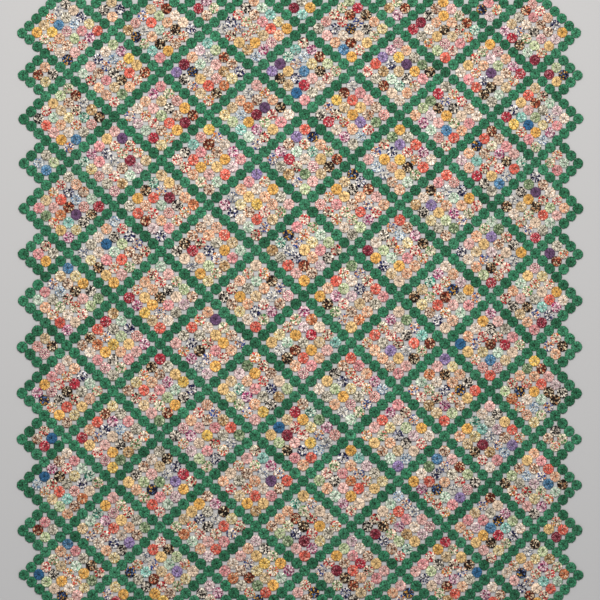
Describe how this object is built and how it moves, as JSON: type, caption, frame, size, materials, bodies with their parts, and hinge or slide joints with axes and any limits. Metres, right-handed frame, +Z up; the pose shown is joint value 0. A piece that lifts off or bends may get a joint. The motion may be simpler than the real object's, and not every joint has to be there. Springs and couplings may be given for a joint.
{
  "type": "yo-yo coverlet",
  "caption": "Flat bed coverlet of gathered cotton rounds tacked edge to edge, in patchwork blocks between single green rows, with a pointed, scalloped edge.",
  "frame": {"origin": "on the surface that the coverlet lies on, under the middle of its outline", "axes": "+Z up out of its gathered face, +Y towards the head end, along its length, +X to the right as seen from above"},
  "size_m": [1.9756, 2.2328, 0.005],
  "materials": {
    "green_cotton": "matte plain-weave dress cotton",
    "print_cotton": "matte printed plain-weave dress cotton"
  },
  "bodies": {
    "root": {"block_strip_01": "print_cotton", "block_strip_02": "print_cotton", "block_strip_03": "print_cotton", "block_strip_04": "print_cotton", "block_strip_05": "print_cotton", "block_strip_06": "print_cotton", "block_strip_07": "print_cotton", "block_strip_08": "print_cotton", "block_strip_09": "print_cotton", "block_strip_10": "print_cotton", "block_strip_11": "print_cotton", "block_strip_12": "print_cotton", "edging_bottom": "green_cotton", "edging_left": "green_cotton", "edging_right": "green_cotton", "edging_top": "green_cotton", "long_sash_01": "green_cotton", "long_sash_02": "green_cotton", "long_sash_03": "green_cotton", "long_sash_04": "green_cotton", "long_sash_05": "green_cotton", "long_sash_06": "green_cotton", "long_sash_07": "green_cotton", "long_sash_08": "green_cotton", "long_sash_09": "green_cotton", "long_sash_10": "green_cotton", "long_sash_11": "green_cotton"}
  },
  "joints": []
}
